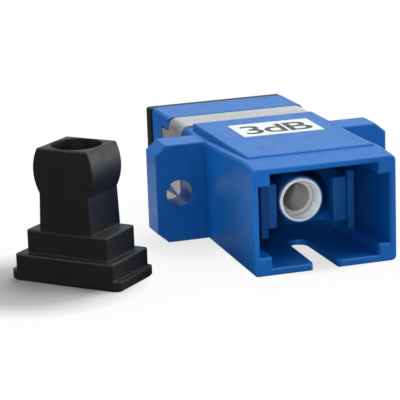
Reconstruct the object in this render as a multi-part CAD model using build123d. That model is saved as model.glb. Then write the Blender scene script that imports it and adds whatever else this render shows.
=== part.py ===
from build123d import *
import math
import os

# SC-type flange attenuator, a female to female inline coupler with a fixed optical loss.
# Millimetres. +Y runs along the optical axis from the open front port to the capped rear port,
# +X is to the right seen from the front port, +Z is up. The origin is on the optical axis at
# the flange's seating face, the face that bears on the panel.

# Outer body
body_width = 13.0
body_height = 8.9
mouth_rise = 0.15
mouth_drop = 0.25
body_edge_radius = 0.45
rim_radius = 0.18
rear_rim_chamfer = 0.15
front_length = 12.7
collar_length = 3.0
rear_length = 9.3
rear_step = 0.2

# Panel flange
ear_length = 4.5
flange_thickness = 2.9
flange_cut_x = 1.0
flange_cut_z = 0.85
flange_chamfer = 0.1
hole_diameter = 2.4
hole_offset = 2.4

# Raised label panel on the front housing
panel_side_margin = 0.7
panel_rise = 0.55
brow_step = 0.16
panel_front_margin = 3.15
panel_rear_margin = 0.75
panel_chamfer = 0.1

# Ports, shared by both housings
side_wall = 0.58
top_wall = 0.39
rail_width = 1.05
rail_height = 1.0
port_chamfer = 0.14
key_mouth_width = 2.3
key_end_width = 1.9
key_length = 7.6
key_corner_radius = 0.35

# Latch insert: clamped plate, two hooked arms and the sleeve tube
plate_thickness = 1.2
plate_clearance = 0.05
pocket_wall = 0.52
tube_diameter = 4.2
tube_setback = 0.2
arm_gap = 7.4
arm_thickness = 0.6
arm_height = 3.9
arm_root = 0.35
head_depth = 4.1
head_height = 5.2
head_length = 0.6
hook_gap = 5.2
hook_length = 1.0
hook_slope = 0.12
window_side = 0.1

# Spigot of the rear housing that clamps the plates
spigot_wall = 0.7
arm_play = 0.1

# White sleeve holders, zirconia split sleeve and the attenuating stub
holder_diameter = 3.88
holder_fit = 0.01
holder_depth = 5.7
sleeve_diameter = 3.2
sleeve_bore = 2.5
sleeve_slot = 0.4
sleeve_play = 0.05
lip_length = 0.9
lip_bore = 3.05
lip_mouth = 3.46
lip_land = 0.2
sleeve_end_play = 0.3
stub_length = 3.0
stub_fit = 0.01
stub_chamfer = 0.3
fibre_diameter = 0.125
fibre_fit = 0.0125

# Folded spring clip round the rear housing
clip_thickness = 0.3
clip_play = 0.03
clip_groove = 0.15
clip_end_play = 0.1
clip_strap_width = 3.9
clip_front_step = 0.75
clip_wing_lean = 0.25
clip_valley_height = 3.4
clip_barb_length = 2.15
clip_barb_height = 3.3
clip_heel_height = -1.3
clip_toe_height = -2.4
clip_groove_play = 0.15
finger_length = 4.5
finger_depth = 1.2
finger_root = 0.55
finger_lean = 6.0

# Paper rating label
label_length = 7.5
label_width = 4.95
label_thickness = 0.06
label_shift_x = 0.3
label_shift_y = -3.0
label_turn = -1.4

# Dust caps: stepped plug with a waisted gripping tower
cap_end_play = 0.07
cap_side_play = 0.06
cap_shoulder_height = 1.5
cap_block_step = 0.85
cap_block_height = 2.03
cap_tower_depth = 4.75
cap_tower_height = 7.18
cap_base_width = 5.0
cap_waist_width = 4.7
cap_waist_height = 3.3
cap_bulge_width = 5.75
cap_bulge_height = 5.3
cap_top_width = 4.8
cap_bore_wall = 0.2
cap_ring_play = 0.43
cap_corner_radius = 0.3
cap_top_radius = 0.14
cap_edge_radius = 0.14
brim_chamfer = 0.2
loose_brim_corner = 0.75
loose_brim_overhang = 0.6
loose_brim_thickness = 0.88
loose_cap_x = -19.68
loose_cap_y = -9.15
loose_cap_turn = -46.5
rear_brim_corner = 0.25
rear_brim_overhang = 0.1
rear_brim_inset = 0.2
rear_brim_thickness = 1.4
rear_cap_gap = 0.3

# Sizes and places worked out from the ones above
flange_width = body_width + 2 * ear_length
hole_pitch = body_width + 2 * hole_offset
mouth_top = body_height / 2 + mouth_rise
mouth_bottom = body_height / 2 + mouth_drop
panel_width = body_width - 2 * panel_side_margin
port_width = body_width - 2 * side_wall
port_height = body_height - 2 * top_wall
rear_width = body_width + 2 * rear_step
rear_height = body_height + 2 * rear_step
arm_room = arm_gap + 2 * (arm_thickness + arm_root + arm_play)
cap_shoulder_width = port_width - 2 * rail_width - 2 * cap_end_play
cap_shoulder_depth = port_height - 2 * rail_height - 2 * cap_side_play
cap_block_width = cap_shoulder_width - 2 * cap_block_step
cap_bore = cap_tower_depth - 2 * cap_bore_wall
cap_reach = cap_shoulder_height + cap_block_height + cap_tower_height
cap_bore_depth = cap_reach - rear_cap_gap - holder_depth + cap_ring_play
loose_brim_width = cap_shoulder_width + 2 * loose_brim_overhang
loose_brim_depth = cap_shoulder_depth
rear_brim_width = rear_width + 2 * rear_brim_overhang
rear_brim_depth = rear_height - 2 * rear_brim_inset
flange_front = -flange_thickness
mouth = flange_front - front_length
rear_end = collar_length + rear_length
middle = (mouth + rear_end) / 2
plate_front = middle - plate_thickness
plate_rear = middle + plate_thickness
half_span = (rear_end - mouth) / 2
holder_length = half_span - holder_depth
floor_level = -mouth_bottom
clip_start = collar_length + clip_end_play
strap_end = clip_start + clip_strap_width
groove_end = strap_end + clip_groove_play
barb_end = strap_end + clip_barb_length
toe_y = clip_start + clip_front_step + clip_wing_lean
finger_foot = clip_toe_height - finger_depth
through = 4 * body_width


def box_between(x0, x1, y0, y1, z0, z1):
    """A block given by its two corners."""
    size = Box(x1 - x0, y1 - y0, z1 - z0)
    return Pos((x0 + x1) / 2, (y0 + y1) / 2, (z0 + z1) / 2) * size


def section(width, height, radius, y):
    """A rounded rectangle across the optical axis at a station y."""
    return Plane.XZ.offset(-y) * RectangleRounded(width, height, radius)


def prism(width, height, radius, y0, y1):
    """A rounded block along the optical axis."""
    return extrude(section(width, height, radius, y1), y1 - y0)


def mirror_to_rear(shape):
    """The same piece facing the other port."""
    return mirror(shape, about=Plane.XZ.offset(-middle))


def port_core(y0, y1):
    """The plug opening: full height between the corner rails, full width between them."""
    tall = box_between(-port_width / 2 + rail_width, port_width / 2 - rail_width,
                       y0, y1, -port_height / 2, port_height / 2)
    wide = box_between(-port_width / 2, port_width / 2, y0, y1,
                       -port_height / 2 + rail_height, port_height / 2 - rail_height)
    return tall + wide


def keyway_cutter():
    """Tapered key slot with a round inner end, open at the front mouth."""
    end_radius = key_end_width / 2
    end_y = mouth + key_length - end_radius
    outline = Polyline((-key_mouth_width / 2, mouth), (-end_radius, end_y),
                       (end_radius, end_y), (key_mouth_width / 2, mouth), close=True)
    flat = make_face(outline) + Pos(0, end_y) * Circle(end_radius)
    edge = key_mouth_width / 2 - 0.01
    reach = key_corner_radius * (1 - math.sqrt(0.5))
    for side in (-1, 1):
        start = (side * edge, mouth + key_corner_radius)
        end = (side * (edge + key_corner_radius), mouth)
        curve = ThreePointArc(start, (side * (edge + reach), mouth + reach), end)
        flat += make_face(curve + Polyline(end, (side * (edge - 0.2), mouth),
                                           (side * (edge - 0.2), start[1]), start))
    rise = 2 * mouth_bottom - port_height / 4
    return Pos(0, 0, -2 * mouth_bottom) * extrude(flat, rise, dir=(0, 0, 1))


def mouth_edges(shape, y):
    """The inner edges of a port's mouth, clear of the key slot and the outer rim."""
    edges = shape.edges().filter_by_position(Axis.Y, y - 0.01, y + 0.01)
    inner = edges.filter_by_position(Axis.Z, -port_height / 2 - 0.01, port_height / 2 + 0.01)
    return inner.filter_by_position(Axis.X, -port_width / 2 - 0.01, port_width / 2 + 0.01)


def make_front_housing():
    """Flared front shroud with a raised brow, flange, collar and the flat label panel."""
    half_h = body_height / 2
    brow_y = mouth + panel_front_margin
    brow_top = half_h + panel_rise - brow_step
    along = panel_front_margin / front_length
    brow_bottom = (1 - along) * mouth_bottom + along * half_h
    brow_section = section(body_width, brow_top + brow_bottom, body_edge_radius, brow_y)
    mouth_section = section(body_width, mouth_top + mouth_bottom, body_edge_radius, mouth)
    shroud = loft([Pos(0, 0, (mouth_top - mouth_bottom) / 2) * mouth_section,
                   Pos(0, 0, (brow_top - brow_bottom) / 2) * brow_section,
                   section(body_width, body_height, body_edge_radius, flange_front)],
                  ruled=True)
    collar = prism(body_width, body_height, body_edge_radius, flange_front, collar_length)
    half_w = flange_width / 2
    corners = [(half_w - flange_cut_x, half_h), (half_w, half_h - flange_cut_z),
               (half_w, -half_h + flange_cut_z), (half_w - flange_cut_x, -half_h)]
    corners += [(-x, z) for x, z in reversed(corners)]
    plate = Plane.XZ * make_face(Polyline(*corners, close=True))
    flange = extrude(plate, flange_thickness)
    flange = chamfer(flange.faces().sort_by(Axis.Y)[0].edges(), flange_chamfer)
    panel = box_between(-panel_width / 2, panel_width / 2, mouth + panel_front_margin,
                        collar_length - panel_rear_margin, port_height / 2 + 0.1,
                        half_h + panel_rise)
    panel = chamfer(panel.faces().sort_by(Axis.Z)[-1].edges(), panel_chamfer)
    rim = shroud.edges().filter_by_position(Axis.Y, mouth - 0.01, mouth + 0.01)
    shroud = fillet(rim, rim_radius)
    shell = shroud + collar + flange + panel
    pocket = box_between(-body_width / 2 + pocket_wall, body_width / 2 - pocket_wall,
                         plate_front, collar_length,
                         -port_height / 2 - plate_clearance, port_height / 2 + plate_clearance)
    shell -= port_core(mouth, plate_front)
    shell -= pocket
    shell -= keyway_cutter()
    for side in (-1, 1):
        hole = Rot(90, 0, 0) * Cylinder(hole_diameter / 2, through)
        shell -= Pos(side * hole_pitch / 2, 0, 0) * hole
    shell = chamfer(mouth_edges(shell, mouth), port_chamfer)
    return shell


def clip_band(gap, thickness, y0, y1):
    """The folded strip's cross-section, a channel open at the bottom, taken along the axis."""
    outer_w = body_width - 2 * clip_groove + 2 * (gap + thickness)
    outer_h = body_height - 2 * clip_groove + 2 * (gap + thickness)
    radius = body_edge_radius + gap + thickness
    return prism(outer_w, outer_h, radius, y0, y1)


def make_rear_housing():
    """Rear shroud with its clip groove, key slot and the spigot that clamps the inserts."""
    shell = prism(rear_width, rear_height, body_edge_radius, collar_length, rear_end)
    rim = shell.edges().filter_by_position(Axis.Y, rear_end - 0.01, rear_end + 0.01)
    shell = chamfer(rim, rear_rim_chamfer)
    groove_top = box_between(-body_width, body_width, collar_length, groove_end,
                             clip_valley_height, body_height)
    groove_sides = box_between(-body_width, body_width, collar_length,
                               barb_end + clip_groove_play,
                               finger_foot - clip_groove_play,
                               clip_valley_height + clip_groove_play)
    skin = prism(body_width + 1, body_height + 1, body_edge_radius, collar_length, rear_end)
    skin -= clip_band(0, 0, collar_length, rear_end)
    shell -= skin & (groove_top + groove_sides)
    spigot_w = body_width - 2 * pocket_wall - 2 * plate_clearance
    shell += box_between(-spigot_w / 2, spigot_w / 2, plate_rear, collar_length,
                         -port_height / 2, port_height / 2)
    shell -= port_core(collar_length + spigot_wall, rear_end)
    shell -= box_between(-arm_room / 2, arm_room / 2,
                         plate_rear, collar_length + spigot_wall,
                         -port_height / 2 + spigot_wall, port_height / 2 - spigot_wall)
    shell -= mirror_to_rear(keyway_cutter())
    shell = chamfer(mouth_edges(shell, rear_end), port_chamfer)
    return shell


def make_latch_insert():
    """Front insert: plate, sleeve tube and two flexing arms that end in hooked T-heads."""
    plate_w = body_width - 2 * pocket_wall - 2 * plate_clearance
    insert = box_between(-plate_w / 2, plate_w / 2, plate_front, middle,
                         -port_height / 2, port_height / 2)
    tube_front = mouth + holder_depth + tube_setback
    insert += Plane.XZ.offset(-middle) * extrude(Circle(tube_diameter / 2), middle - tube_front)
    head_y = mouth + head_depth
    arm_in = arm_gap / 2
    arm_out = arm_in + arm_thickness
    nose = hook_gap / 2
    for side in (-1, 1):
        outline = [(arm_in, middle), (arm_in, head_y + head_length + hook_length),
                   (nose, head_y + head_length + hook_length - hook_slope),
                   (nose, head_y + head_length + hook_slope),
                   (nose + hook_slope, head_y + head_length),
                   (arm_in, head_y + head_length), (arm_in, head_y),
                   (arm_out, head_y), (arm_out, plate_front - arm_root),
                   (arm_out + arm_root, plate_front), (arm_out + arm_root, middle)]
        profile = make_face(Polyline(*[(side * x, y) for x, y in outline], close=True))
        arm = Pos(0, 0, -arm_height / 2) * extrude(profile, arm_height)
        bar_in, bar_out = sorted((side * arm_in, side * arm_out))
        arm += box_between(bar_in, bar_out, head_y, head_y + head_length,
                           -head_height / 2, head_height / 2)
        insert += arm
        win_in, win_out = sorted((side * (nose - window_side), side * arm_in))
        insert -= box_between(win_in, win_out, plate_front - 0.01, middle,
                              -arm_height / 2, arm_height / 2)
    bore = Plane.XZ.offset(-middle) * extrude(Circle(holder_diameter / 2 + holder_fit), through)
    return insert - bore


def make_sleeve_holder():
    """Front holder, revolved: a thin tube with a funnelled lip that keeps the sleeve in."""
    outer = holder_diameter / 2
    inner = sleeve_diameter / 2 + sleeve_play
    front = mouth + holder_depth
    outline = Polyline((inner, middle), (outer, middle), (outer, front + 0.1),
                       (outer - 0.1, front), (lip_mouth / 2, front),
                       (lip_bore / 2, front + lip_length - lip_land),
                       (lip_bore / 2, front + lip_length), (inner, front + lip_length),
                       close=True)
    return revolve(make_face(outline), Axis.Y)


def make_split_sleeve():
    """Slotted alignment tube, chamfered at both ends, free inside the two holders."""
    half = half_span - holder_depth - lip_length - sleeve_end_play
    inner = sleeve_bore / 2
    outer = sleeve_diameter / 2
    outline = Polyline((inner, middle - half + 0.15), (inner + 0.15, middle - half),
                       (outer - 0.08, middle - half), (outer, middle - half + 0.08),
                       (outer, middle + half - 0.08), (outer - 0.08, middle + half),
                       (inner + 0.15, middle + half), (inner, middle + half - 0.15), close=True)
    tube = revolve(make_face(outline), Axis.Y)
    slot = box_between(-sleeve_slot / 2, sleeve_slot / 2, middle - 2 * half, middle + 2 * half,
                       0, sleeve_diameter)
    return tube - slot


def make_stub():
    """Short ferrule with chamfered ends and the fibre bore through its axis."""
    outer = sleeve_bore / 2 - stub_fit
    inner = fibre_diameter / 2 + fibre_fit
    half = stub_length / 2
    outline = Polyline((inner, middle - half), (outer - stub_chamfer, middle - half),
                       (outer, middle - half + stub_chamfer), (outer, middle + half - stub_chamfer),
                       (outer - stub_chamfer, middle + half), (inner, middle + half), close=True)
    return revolve(make_face(outline), Axis.Y)


def make_fibre():
    """The attenuating fibre, flush with both ends of the stub."""
    return Pos(0, middle, 0) * Rot(90, 0, 0) * Cylinder(fibre_diameter / 2, stub_length)


def clip_finger():
    """Spring finger below a wing, rooted at its toe and sprung outward at its free end."""
    outline = Polyline((0, 0.35), (finger_root, 0.35), (finger_root, 0.02),
                       (finger_length, 0.12), (finger_length, -finger_depth),
                       (0.2, -finger_depth), close=True)
    blank = extrude(Plane.YZ * make_face(outline), clip_thickness)
    inner = body_width / 2 - clip_groove + clip_play
    return Pos(inner, toe_y, clip_toe_height) * Rot(0, 0, -finger_lean) * blank


def make_spring_clip():
    """One folded strip: a strap over the top, a barbed wing and a finger down each side."""
    band = clip_band(clip_play, clip_thickness, clip_start, barb_end)
    band -= clip_band(clip_play, 0, clip_start, barb_end)
    strap_top = body_height
    curve = Spline((clip_start, body_height / 2 - 0.2),
                   (clip_start + clip_front_step, clip_valley_height - 0.6),
                   tangents=((0, -1), (0.05, -1)))
    lines = Polyline((clip_start + clip_front_step, clip_valley_height - 0.6),
                     (toe_y, clip_toe_height), (barb_end - 0.05, clip_heel_height),
                     (barb_end, clip_barb_height), (strap_end + 0.2, clip_valley_height),
                     (strap_end, clip_valley_height + 0.3), (strap_end, strap_top),
                     (clip_start, strap_top), (clip_start, body_height / 2 - 0.2))
    blank = Plane.YZ * make_face(curve + lines)
    side_view = Pos(-through / 2, 0, 0) * extrude(blank, through)
    finger = clip_finger()
    return (band & side_view) + finger + mirror(finger, about=Plane.YZ)


def make_label():
    """Thin paper label lying on the raised panel, a little askew."""
    top = body_height / 2 + panel_rise
    sheet = extrude(RectangleRounded(label_length, label_width, 0.15), label_thickness)
    return Pos(label_shift_x, label_shift_y, top) * Rot(0, 0, label_turn) * sheet


def make_cap(brim_width, brim_depth, brim_thickness, brim_corner):
    """A dust cap standing on its brim: brim, shoulder, block and the waisted tower."""
    brim = extrude(RectangleRounded(brim_width, brim_depth, brim_corner), brim_thickness)
    brim = chamfer(brim.faces().sort_by(Axis.Z)[0].edges(), brim_chamfer)
    shoulder = extrude(RectangleRounded(cap_shoulder_width, cap_shoulder_depth,
                                        cap_corner_radius), cap_shoulder_height)
    block = extrude(RectangleRounded(cap_block_width, cap_tower_depth, cap_corner_radius),
                    cap_block_height)
    shoulder = fillet(shoulder.faces().sort_by(Axis.Z)[-1].edges(), cap_edge_radius)
    block = fillet(block.faces().sort_by(Axis.Z)[-1].edges(), cap_edge_radius)
    waist = (cap_waist_width / 2, cap_waist_height)
    right = Line((cap_base_width / 2, 0), waist)
    right += ThreePointArc(waist, (cap_bulge_width / 2, cap_bulge_height),
                           (cap_top_width / 2, cap_tower_height))
    left = mirror(right, about=Plane.YZ)
    top = Line((-cap_top_width / 2, cap_tower_height), (cap_top_width / 2, cap_tower_height))
    base = Line((-cap_base_width / 2, 0), (cap_base_width / 2, 0))
    face = Plane.XZ.offset(-cap_tower_depth / 2) * make_face(right + top + left + base)
    tower = extrude(face, cap_tower_depth)
    crown = tower.faces().sort_by(Axis.Z)[-1].edges()
    tower = fillet(crown, cap_top_radius)
    shoulder_z = brim_thickness + cap_shoulder_height
    tower_z = shoulder_z + cap_block_height
    cap = brim + Pos(0, 0, brim_thickness) * shoulder
    cap += Pos(0, 0, shoulder_z) * block
    cap += Pos(0, 0, tower_z) * tower
    bore_top = tower_z + cap_tower_height
    bore = Pos(0, 0, bore_top - cap_bore_depth) * extrude(Circle(cap_bore / 2), cap_bore_depth + 1)
    return cap - bore


front_housing = make_front_housing()
rear_housing = make_rear_housing()
front_latch_insert = make_latch_insert()
rear_latch_insert = mirror_to_rear(front_latch_insert)
front_sleeve_holder = make_sleeve_holder()
rear_sleeve_holder = mirror_to_rear(front_sleeve_holder)
split_sleeve = make_split_sleeve()
attenuating_stub = make_stub()
doped_fibre = make_fibre()
spring_clip = make_spring_clip()
rating_label = make_label()
rear_cap = make_cap(rear_brim_width, rear_brim_depth, rear_brim_thickness, rear_brim_corner)
rear_cap_place = Pos(0, rear_end + rear_cap_gap + rear_brim_thickness, 0) * Rot(90, 0, 0)
loose_cap = make_cap(loose_brim_width, loose_brim_depth, loose_brim_thickness,
                     loose_brim_corner)
loose_cap_place = Pos(loose_cap_x, loose_cap_y, floor_level) * Rot(0, 0, loose_cap_turn)

nodes = {
    "front_housing": front_housing,
    "rear_housing": rear_housing,
    "front_latch_insert": front_latch_insert,
    "rear_latch_insert": rear_latch_insert,
    "front_sleeve_holder": front_sleeve_holder,
    "rear_sleeve_holder": rear_sleeve_holder,
    "split_sleeve": split_sleeve,
    "attenuating_stub": attenuating_stub,
    "doped_fibre": doped_fibre,
    "spring_clip": spring_clip,
    "rating_label": rating_label,
    "rear_dust_cap": rear_cap_place * rear_cap,
    "loose_dust_cap": loose_cap_place * loose_cap,
}

os.makedirs("parts", exist_ok=True)
for name, shape in nodes.items():
    export_step(shape, f"parts/{name}.step")
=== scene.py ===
import math
import bpy
from mathutils import Matrix, Vector


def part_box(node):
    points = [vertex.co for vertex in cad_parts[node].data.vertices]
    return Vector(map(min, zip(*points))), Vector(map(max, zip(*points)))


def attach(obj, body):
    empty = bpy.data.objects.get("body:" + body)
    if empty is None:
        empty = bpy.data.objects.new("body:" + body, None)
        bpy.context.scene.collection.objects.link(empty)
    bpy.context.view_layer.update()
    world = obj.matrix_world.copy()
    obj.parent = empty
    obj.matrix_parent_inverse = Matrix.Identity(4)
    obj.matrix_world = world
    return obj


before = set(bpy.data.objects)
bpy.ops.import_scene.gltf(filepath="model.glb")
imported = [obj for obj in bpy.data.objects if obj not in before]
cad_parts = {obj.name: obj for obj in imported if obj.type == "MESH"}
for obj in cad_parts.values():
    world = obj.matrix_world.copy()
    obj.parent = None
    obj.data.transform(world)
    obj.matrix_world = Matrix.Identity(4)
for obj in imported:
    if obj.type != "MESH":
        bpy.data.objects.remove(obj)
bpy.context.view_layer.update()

MM = 0.001


# Camera: solved from the photograph in the part's own frame, in degrees and millimetres

AZIMUTH = -17.65
ELEVATION = 14.58
ROLL = -2.0
TARGET = (-24.36, -57.41, 14.03)
DISTANCE = 119.35
LENS = 180.0
SENSOR_WIDTH = 36.0
CLIP_START = 0.005
CLIP_END = 5.0


def camera_matrix():
    """Matrix of a camera that looks at TARGET from the solved direction, rolled about its view."""
    az, el, roll = (math.radians(v) for v in (AZIMUTH, ELEVATION, ROLL))
    back = Vector((math.sin(az) * math.cos(el), -math.cos(az) * math.cos(el), math.sin(el)))
    across = Vector((0, 0, 1)).cross(back).normalized()
    up = back.cross(across)
    right = math.cos(roll) * across + math.sin(roll) * up
    above = -math.sin(roll) * across + math.cos(roll) * up
    place = (Vector(TARGET) + back * DISTANCE) * MM
    m = Matrix.Identity(4)
    for i in range(3):
        m[i][0], m[i][1], m[i][2], m[i][3] = right[i], above[i], back[i], place[i]
    return m


def add_object(name, data):
    """A new object in the scene, from its data."""
    o = bpy.data.objects.new(name, data)
    bpy.context.scene.collection.objects.link(o)
    return o


camera_data = bpy.data.cameras.new("camera")
camera_data.sensor_width = SENSOR_WIDTH
camera_data.lens = LENS
camera_data.clip_start = CLIP_START
camera_data.clip_end = CLIP_END
camera = add_object("camera", camera_data)
camera.matrix_world = camera_matrix()
bpy.context.scene.camera = camera


# Materials: noise scales are in features per metre of the part

NOISE_LOW = 0.3
NOISE_HIGH = 0.7
FLOW_SCALE = 220
GLOSS_SCALE = 900
LESS_ROUGH = 0.04
MORE_ROUGH = 0.05
GRAIN_DEPTH = 0.02 * MM
HOUSING_EDGE = 0.13 * MM
CAP_EDGE = 0.2 * MM


def new_material(name):
    """A node material, with its nodes, its links and its Principled shader."""
    mat = bpy.data.materials.new(name)
    mat.use_nodes = True
    nodes = mat.node_tree.nodes
    return mat, nodes, mat.node_tree.links, nodes["Principled BSDF"]


def add_noise(nodes, links, scale, detail, stretch=(1, 1, 1)):
    """Noise in object space, so it stays with its piece."""
    coord = nodes.new("ShaderNodeTexCoord")
    mapping = nodes.new("ShaderNodeMapping")
    mapping.inputs["Scale"].default_value = stretch
    noise = nodes.new("ShaderNodeTexNoise")
    noise.inputs["Scale"].default_value = scale
    noise.inputs["Detail"].default_value = detail
    links.new(coord.outputs["Object"], mapping.inputs["Vector"])
    links.new(mapping.outputs["Vector"], noise.inputs["Vector"])
    return noise.outputs["Fac"]


def add_ramp(nodes, links, source, stops):
    """Colour ramp driven by source; stops are (position, colour)."""
    ramp = nodes.new("ShaderNodeValToRGB")
    while len(ramp.color_ramp.elements) < len(stops):
        ramp.color_ramp.elements.new(0.5)
    for element, (position, colour) in zip(ramp.color_ramp.elements, stops):
        element.position = position
        element.color = (*colour, 1)
    links.new(source, ramp.inputs["Fac"])
    return ramp.outputs["Color"]


def colour_between(nodes, links, shader, source, dark, light):
    """Base colour that wanders from dark to light with a noise."""
    colour = add_ramp(nodes, links, source, [(NOISE_LOW, dark), (NOISE_HIGH, light)])
    links.new(colour, shader.inputs["Base Color"])


def rough_between(nodes, links, shader, source, low, high):
    """Roughness that wanders from low to high with a noise."""
    spread = nodes.new("ShaderNodeMapRange")
    spread.inputs["From Min"].default_value = NOISE_LOW
    spread.inputs["From Max"].default_value = NOISE_HIGH
    spread.inputs["To Min"].default_value = low
    spread.inputs["To Max"].default_value = high
    links.new(source, spread.inputs["Value"])
    links.new(spread.outputs["Result"], shader.inputs["Roughness"])


def add_bump(nodes, links, shader, source, strength):
    """Fine relief of GRAIN_DEPTH, from a noise."""
    bump = nodes.new("ShaderNodeBump")
    bump.inputs["Strength"].default_value = strength
    bump.inputs["Distance"].default_value = GRAIN_DEPTH
    links.new(source, bump.inputs["Height"])
    links.new(bump.outputs["Normal"], shader.inputs["Normal"])
    return bump


def soften_edges(nodes, links, bump, radius):
    """Rounds the light on sharp edges, as a moulding's edges do."""
    bevel = nodes.new("ShaderNodeBevel")
    bevel.samples = 4
    bevel.inputs["Radius"].default_value = radius
    links.new(bevel.outputs["Normal"], bump.inputs["Normal"])


def plastic(name, dark, light, rough, grain, relief, specular=0.5, edge=None):
    """Moulded plastic: faint colour flow, uneven gloss and a fine spark-eroded grain."""
    mat, nodes, links, shader = new_material(name)
    flow = add_noise(nodes, links, FLOW_SCALE, 4)
    colour_between(nodes, links, shader, flow, dark, light)
    gloss = add_noise(nodes, links, GLOSS_SCALE, 3)
    rough_between(nodes, links, shader, gloss, rough - LESS_ROUGH, rough + MORE_ROUGH)
    shader.inputs["Specular IOR Level"].default_value = specular
    fine = add_noise(nodes, links, grain, 2)
    bump = add_bump(nodes, links, shader, fine, relief)
    if edge is not None:
        soften_edges(nodes, links, bump, edge)
    return mat


def steel_material():
    """Rolled stainless strip: grain along the fold line, faint smears."""
    mat, nodes, links, shader = new_material("steel")
    shader.inputs["Metallic"].default_value = 1.0
    grain = add_noise(nodes, links, 2500, 3, (0.06, 1.0, 1.0))
    colour_between(nodes, links, shader, grain, (0.59, 0.54, 0.53), (0.70, 0.645, 0.63))
    smear = add_noise(nodes, links, 400, 3)
    rough_between(nodes, links, shader, smear, 0.46, 0.58)
    add_bump(nodes, links, shader, grain, 0.15)
    return mat


def paper_material():
    """Coated label stock: faint fibres and a soft sheen."""
    mat, nodes, links, shader = new_material("paper")
    fibre = add_noise(nodes, links, 3500, 5)
    colour_between(nodes, links, shader, fibre, (0.78, 0.78, 0.77), (0.84, 0.84, 0.83))
    shader.inputs["Roughness"].default_value = 0.55
    add_bump(nodes, links, shader, fibre, 0.2)
    return mat


blue = plastic("blue", (0.001, 0.118, 0.45), (0.002, 0.138, 0.51), rough=0.38,
               grain=9000, relief=0.25, specular=0.35, edge=HOUSING_EDGE)
# Darker blue for the pieces deep in the port: painted shade of the port's recess
inner_blue = plastic("inner_blue", (0.0006, 0.068, 0.27), (0.0012, 0.080, 0.305), rough=0.42,
                     grain=9000, relief=0.25, specular=0.3, edge=HOUSING_EDGE)
black = plastic("black", (0.0062, 0.0063, 0.0060), (0.0080, 0.0081, 0.0077), rough=0.50,
                grain=7000, relief=0.3, specular=0.42, edge=CAP_EDGE)
white = plastic("white", (0.88, 0.89, 0.90), (0.92, 0.93, 0.94), rough=0.25,
                grain=9000, relief=0.1)
# Grey, not zirconia's own white: painted shade of the sleeve's bore
zirconia = plastic("zirconia", (0.48, 0.47, 0.445), (0.54, 0.53, 0.50), rough=0.2,
                   grain=12000, relief=0.05)
steel = steel_material()
paper = paper_material()
ink = plastic("ink", (0.035, 0.035, 0.036), (0.06, 0.06, 0.062), rough=0.5,
              grain=8000, relief=0.1)
glass = plastic("fibre", (0.5, 0.52, 0.54), (0.6, 0.62, 0.64), rough=0.1,
                grain=20000, relief=0.05)

LOOK = {
    "front_housing": blue, "rear_housing": blue,
    "front_latch_insert": inner_blue, "rear_latch_insert": inner_blue,
    "front_sleeve_holder": white, "rear_sleeve_holder": white,
    "split_sleeve": zirconia, "attenuating_stub": zirconia, "doped_fibre": glass,
    "spring_clip": steel, "rating_label": paper,
    "rear_dust_cap": black, "loose_dust_cap": black,
}
for name, mat in LOOK.items():
    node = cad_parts[name]
    node.data.materials.clear()
    node.data.materials.append(mat)


# Lettering on the label, a value and its unit

LETTER_SIZE = 4.5 * MM
LETTER_SPACING = 0.885
LETTER_BOLDNESS = 0.045 * MM
INK_HALF_THICKNESS = 0.005 * MM
INK_LIFT = 0.006 * MM
LETTERS_LEFT = 0.08 * MM
LETTERS_FORWARD = 0.3 * MM
LABEL_TURN = -1.4

label_low, label_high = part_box("rating_label")
label_mid = (label_low + label_high) / 2
text = bpy.data.curves.new("label_text", "FONT")
text.body = "3dB"
text.size = LETTER_SIZE
text.space_character = LETTER_SPACING
text.align_x = "CENTER"
text.align_y = "CENTER"
text.extrude = INK_HALF_THICKNESS
text.offset = LETTER_BOLDNESS
letters = add_object("label_text", text)
letters.location = (label_mid.x - LETTERS_LEFT, label_mid.y - LETTERS_FORWARD,
                    label_high.z + INK_LIFT)
letters.rotation_euler = (0, 0, math.radians(LABEL_TURN))
bpy.context.view_layer.update()
letters.data.materials.append(ink)
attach(letters, "root")


# Floor: pale. The camera sees it glow white, a painted light that washes out its shadows, less
# round the points in SHADOWS, where its real shadow shows through, deepened by SHADOW_TONE, a
# painted shade. Reflections see the glowing patch at SHEEN, a painted reflection.

FLOOR_Z = -4.7 * MM
FLOOR_SIZE = 4
FLOOR_TONE = (0.5, 0.5, 0.5)
# The floor as the camera sees it, darker than its bounce tone: a painted shade that deepens and
# neutralises its shadow
SHADOW_TONE = (0.51, 0.488, 0.488)
NEARLY_WHITE = 0.94
# Each is the place on the floor, the inner and outer radius, and the glow at the inner one
SHADOWS = [((-0.0240, -0.0095), 0.0056, 0.0098, 0.0),
           ((-0.008, -0.002), 0.003, 0.008, 0.765),
           ((0.0, -0.010), 0.005, 0.007, 0.71)]
# A patch of floor that glows only in reflections: a painted reflection on the pieces
SHEEN = (-0.020, 0.014, FLOOR_Z)
SHEEN_STOPS = [(0.010, 0.65), (0.024, 0.05)]

bpy.ops.mesh.primitive_plane_add(size=FLOOR_SIZE, location=(0, 0, FLOOR_Z))
floor = bpy.context.object
floor.name = "floor"
mat, nodes, links, shader = new_material("floor")
shader.inputs["Roughness"].default_value = 0.7
shader.inputs["Specular IOR Level"].default_value = 0.1
position = nodes.new("ShaderNodeNewGeometry").outputs["Position"]
rays = nodes.new("ShaderNodeLightPath").outputs
tone = add_ramp(nodes, links, rays["Is Camera Ray"], [(0.0, FLOOR_TONE), (1.0, SHADOW_TONE)])
links.new(tone, shader.inputs["Base Color"])


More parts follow.
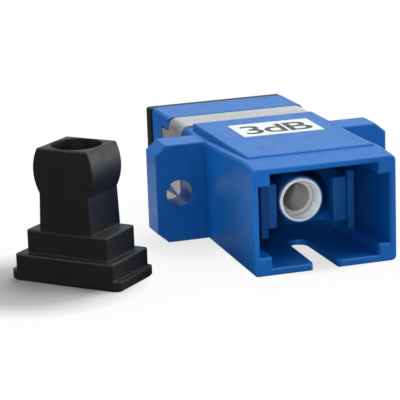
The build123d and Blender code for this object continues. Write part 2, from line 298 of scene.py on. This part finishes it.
def floor_glow(centre, stops):
    """Brightness over the floor by distance from a point; stops are (distance, brightness)."""
    reach = stops[-1][0]
    away = nodes.new("ShaderNodeVectorMath")
    away.operation = "DISTANCE"
    away.inputs[1].default_value = centre
    links.new(position, away.inputs[0])
    scaled = nodes.new("ShaderNodeMath")
    scaled.operation = "DIVIDE"
    scaled.inputs[1].default_value = reach
    links.new(away.outputs["Value"], scaled.inputs[0])
    return add_ramp(nodes, links, scaled.outputs["Value"],
                    [(d / reach, (v, v, v)) for d, v in stops])


def combine(operation, first, second):
    """One value from two, with a maths node."""
    maths = nodes.new("ShaderNodeMath")
    maths.operation = operation
    links.new(first, maths.inputs[0])
    links.new(second, maths.inputs[1])
    return maths.outputs["Value"]


def mix_in(below, glow, factor):
    """The shader below where the factor is 0, and the glow where it is 1."""
    mix = nodes.new("ShaderNodeMixShader")
    links.new(factor, mix.inputs["Fac"])
    links.new(below, mix.inputs[1])
    links.new(glow, mix.inputs[2])
    return mix.outputs["Shader"]


glows = [floor_glow((x, y, FLOOR_Z), [(inner, least), (outer, NEARLY_WHITE), (3 * outer, 1.0)])
         for (x, y), inner, outer, least in SHADOWS]
# clear is how much painted white light the camera sees over the floor's shadows; it is least in
# the SHADOWS fields
clear = glows[0]
for glow in glows[1:]:
    clear = combine("MINIMUM", clear, glow)
painted_white_glow = nodes.new("ShaderNodeEmission")
seen = mix_in(shader.outputs["BSDF"], painted_white_glow.outputs["Emission"],
              combine("MULTIPLY", rays["Is Camera Ray"], clear))
glossy = nodes.new("ShaderNodeEmission")
links.new(floor_glow(SHEEN, SHEEN_STOPS), glossy.inputs["Color"])
both = mix_in(seen, glossy.outputs["Emission"], rays["Is Glossy Ray"])
links.new(both, nodes["Material Output"].inputs["Surface"])
floor.data.materials.append(mat)


# Light: a pale sky, a broad sun, five soft lamps and a narrow beam

world = bpy.data.worlds.new("world")
bpy.context.scene.world = world
world.use_nodes = True
sky = world.node_tree.nodes["Background"].inputs
sky["Color"].default_value = (0.80, 0.96, 1.0, 1)
sky["Strength"].default_value = 0.2

ORIGIN = (0, 0, 0)
PORT = (0, -0.008, 0)
# Each is the place, the target, the side, the power and the colour
LAMPS = {
    "back": ((0.09, 0.35, 0.18), ORIGIN, 0.30, 0.21, (0.80, 1.0, 1.08)),
    "right": ((0.30, -0.13, 0.045), PORT, 0.12, 0.40, (1, 1, 1)),
    "front": ((-0.09, -0.26, 0.07), PORT, 0.06, 0.155, (1, 1, 1)),
    "left": ((-0.27, 0.03, 0.18), PORT, 0.20, 0.43, (1, 1, 1)),
    "low": ((0.33, 0.05, 0.012), PORT, 0.12, 0.30, (1, 1, 1)),
}


def hang(name, data, place, target):
    """Puts a light at its place, turned to its target."""
    lamp = add_object(name, data)
    lamp.location = place
    line = Vector(target) - Vector(place)
    lamp.rotation_euler = line.to_track_quat("-Z", "Y").to_euler()


sun = bpy.data.lights.new("sun", "SUN")
sun.energy = 2.55
sun.angle = math.radians(50)
hang("sun", sun, ORIGIN, (-0.6, -0.1, -0.85))

for name, (place, target, side, power, colour) in LAMPS.items():
    lamp = bpy.data.lights.new(name, "AREA")
    lamp.shape = "SQUARE"
    lamp.size = side
    lamp.energy = power
    lamp.color = colour
    hang(name, lamp, place, target)

# The beam falls into the port, on the sleeve holder's lip
lip_low, lip_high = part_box("front_sleeve_holder")
beam = bpy.data.lights.new("beam", "SPOT")
beam.energy = 3.8
beam.spot_size = math.radians(1.02)
beam.spot_blend = 0.4
beam.shadow_soft_size = 0.004
hang("beam", beam, (-0.13, -0.25, 0.05), (0, lip_low.y, 0))

bpy.context.scene.view_settings.view_transform = "Standard"
